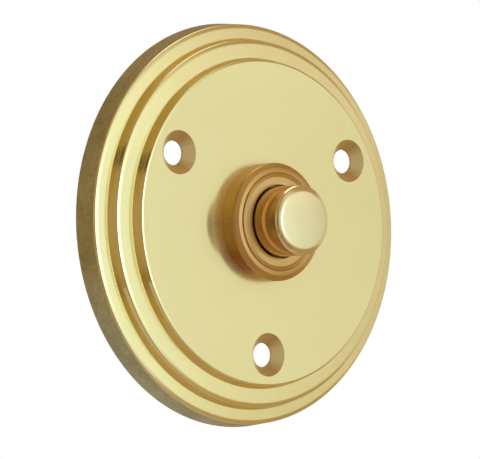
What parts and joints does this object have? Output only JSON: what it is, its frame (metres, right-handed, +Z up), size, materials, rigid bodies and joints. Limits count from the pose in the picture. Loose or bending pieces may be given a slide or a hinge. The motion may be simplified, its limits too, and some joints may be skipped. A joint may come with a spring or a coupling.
{
  "type": "doorbell push button",
  "caption": "Round stepped brass bell push with countersunk screw holes, a beaded bezel and a sprung round button that closes a two-terminal switch behind the plate.",
  "frame": {"origin": "centre of the plate's back face, on the wall plane and on the switch body's axis", "axes": "+Z up, -Y out of the wall towards the person pressing, +X to the right as seen from the front"},
  "size_m": [0.064, 0.0323, 0.064],
  "materials": {
    "polished_brass": "polished and lacquered, satin rim",
    "bezel_brass": "turned and polished",
    "button_brass": "turned and polished",
    "nut_brass": "as machined",
    "contact_brass": "as machined",
    "contact_bronze": "stamped strip",
    "plated_steel": "zinc plated",
    "spring_steel": "bright wire",
    "nylon": "natural moulded",
    "black_moulding": "moulded phenolic",
    "base_laminate": "phenolic laminate"
  },
  "bodies": {
    "body": {"face_plate": "polished_brass", "bezel": "bezel_brass", "lock_washer": "plated_steel", "ring_nut": "nut_brass", "return_spring": "spring_steel", "switch_housing": "black_moulding", "contact_stud_left": "contact_brass", "contact_stud_right": "contact_brass", "base_plate": "base_laminate", "base_screws": "plated_steel", "terminal_screws": "contact_brass", "clamp_washers": "contact_brass"},
    "button": {"push_button": "button_brass", "plunger": "nylon", "contact_bridge": "contact_bronze", "retaining_clip": "spring_steel"}
  },
  "joints": [
    {"name": "button_press", "type": "slide", "parent": "body", "child": "button", "axis": [0, 1, 0], "range_m": [0, 0.002], "stiffness_N_per_m": 235, "springref_m": -0.002, "deforming": ["return_spring"]}
  ]
}
